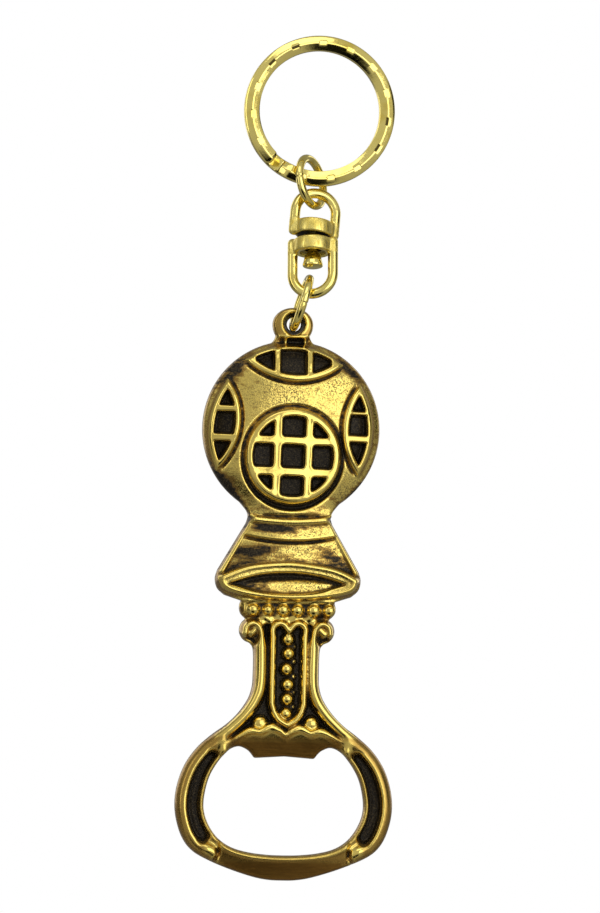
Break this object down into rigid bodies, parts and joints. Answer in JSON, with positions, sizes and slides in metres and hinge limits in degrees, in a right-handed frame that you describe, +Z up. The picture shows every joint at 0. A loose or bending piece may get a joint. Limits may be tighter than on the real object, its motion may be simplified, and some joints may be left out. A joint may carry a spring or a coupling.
{
  "type": "keychain bottle opener",
  "caption": "Cast antique-brass bottle opener shaped like a diving helmet, hung from a split ring by jump rings and a rivet swivel.",
  "frame": {"origin": "the hang point: the top of the split ring's inner edge, in the middle of its thickness", "axes": "+Z up, the opener hangs below along -Z; the relief faces -Y and the flat back +Y; +X to the right seen from the relief side"},
  "size_m": [0.0433, 0.0134, 0.1691],
  "materials": {
    "antique_brass": "cast antique brass, brown patina in the recesses, rubbed bright on the high edges",
    "gold_plate": "polished gold-coloured plating"
  },
  "bodies": {
    "split_ring": {"split_ring": "gold_plate"},
    "upper_jump_ring": {"upper_jump_ring": "gold_plate"},
    "upper_swivel": {"swivel_upper_shackle": "gold_plate", "swivel_rivet": "gold_plate"},
    "lower_swivel": {"swivel_lower_shackle": "gold_plate"},
    "lower_jump_ring": {"lower_jump_ring": "gold_plate"},
    "opener": {"opener_body": "antique_brass"}
  },
  "joints": [
    {"name": "upper_ring_swing", "type": "hinge", "parent": "split_ring", "child": "upper_jump_ring", "pos_m": [-0.0013, 0, -0.02564], "axis": [0.9954, 0, -0.0956], "range_deg": [-60, 60]},
    {"name": "upper_shackle_swing", "type": "hinge", "parent": "upper_jump_ring", "child": "upper_swivel", "pos_m": [-0.00048, -0.00013, -0.0311], "axis": [0.5428, 0.8398, 0], "range_deg": [-45, 45]},
    {"name": "swivel_spin", "type": "hinge", "parent": "upper_swivel", "child": "lower_swivel", "pos_m": [-0.001, -0.00226, -0.0394], "axis": [0.0085, 0.2419, 0.9703], "continuous": true},
    {"name": "lower_ring_swing", "type": "hinge", "parent": "lower_swivel", "child": "lower_jump_ring", "pos_m": [-0.00245, -0.00419, -0.04884], "axis": [0.8934, -0.3512, -0.28], "range_deg": [-60, 20]},
    {"name": "opener_swing", "type": "hinge", "parent": "lower_jump_ring", "child": "opener", "pos_m": [-0.00442, 0, -0.0553], "axis": [0.1191, 0.9131, 0.39], "range_deg": [-60, 60]}
  ]
}
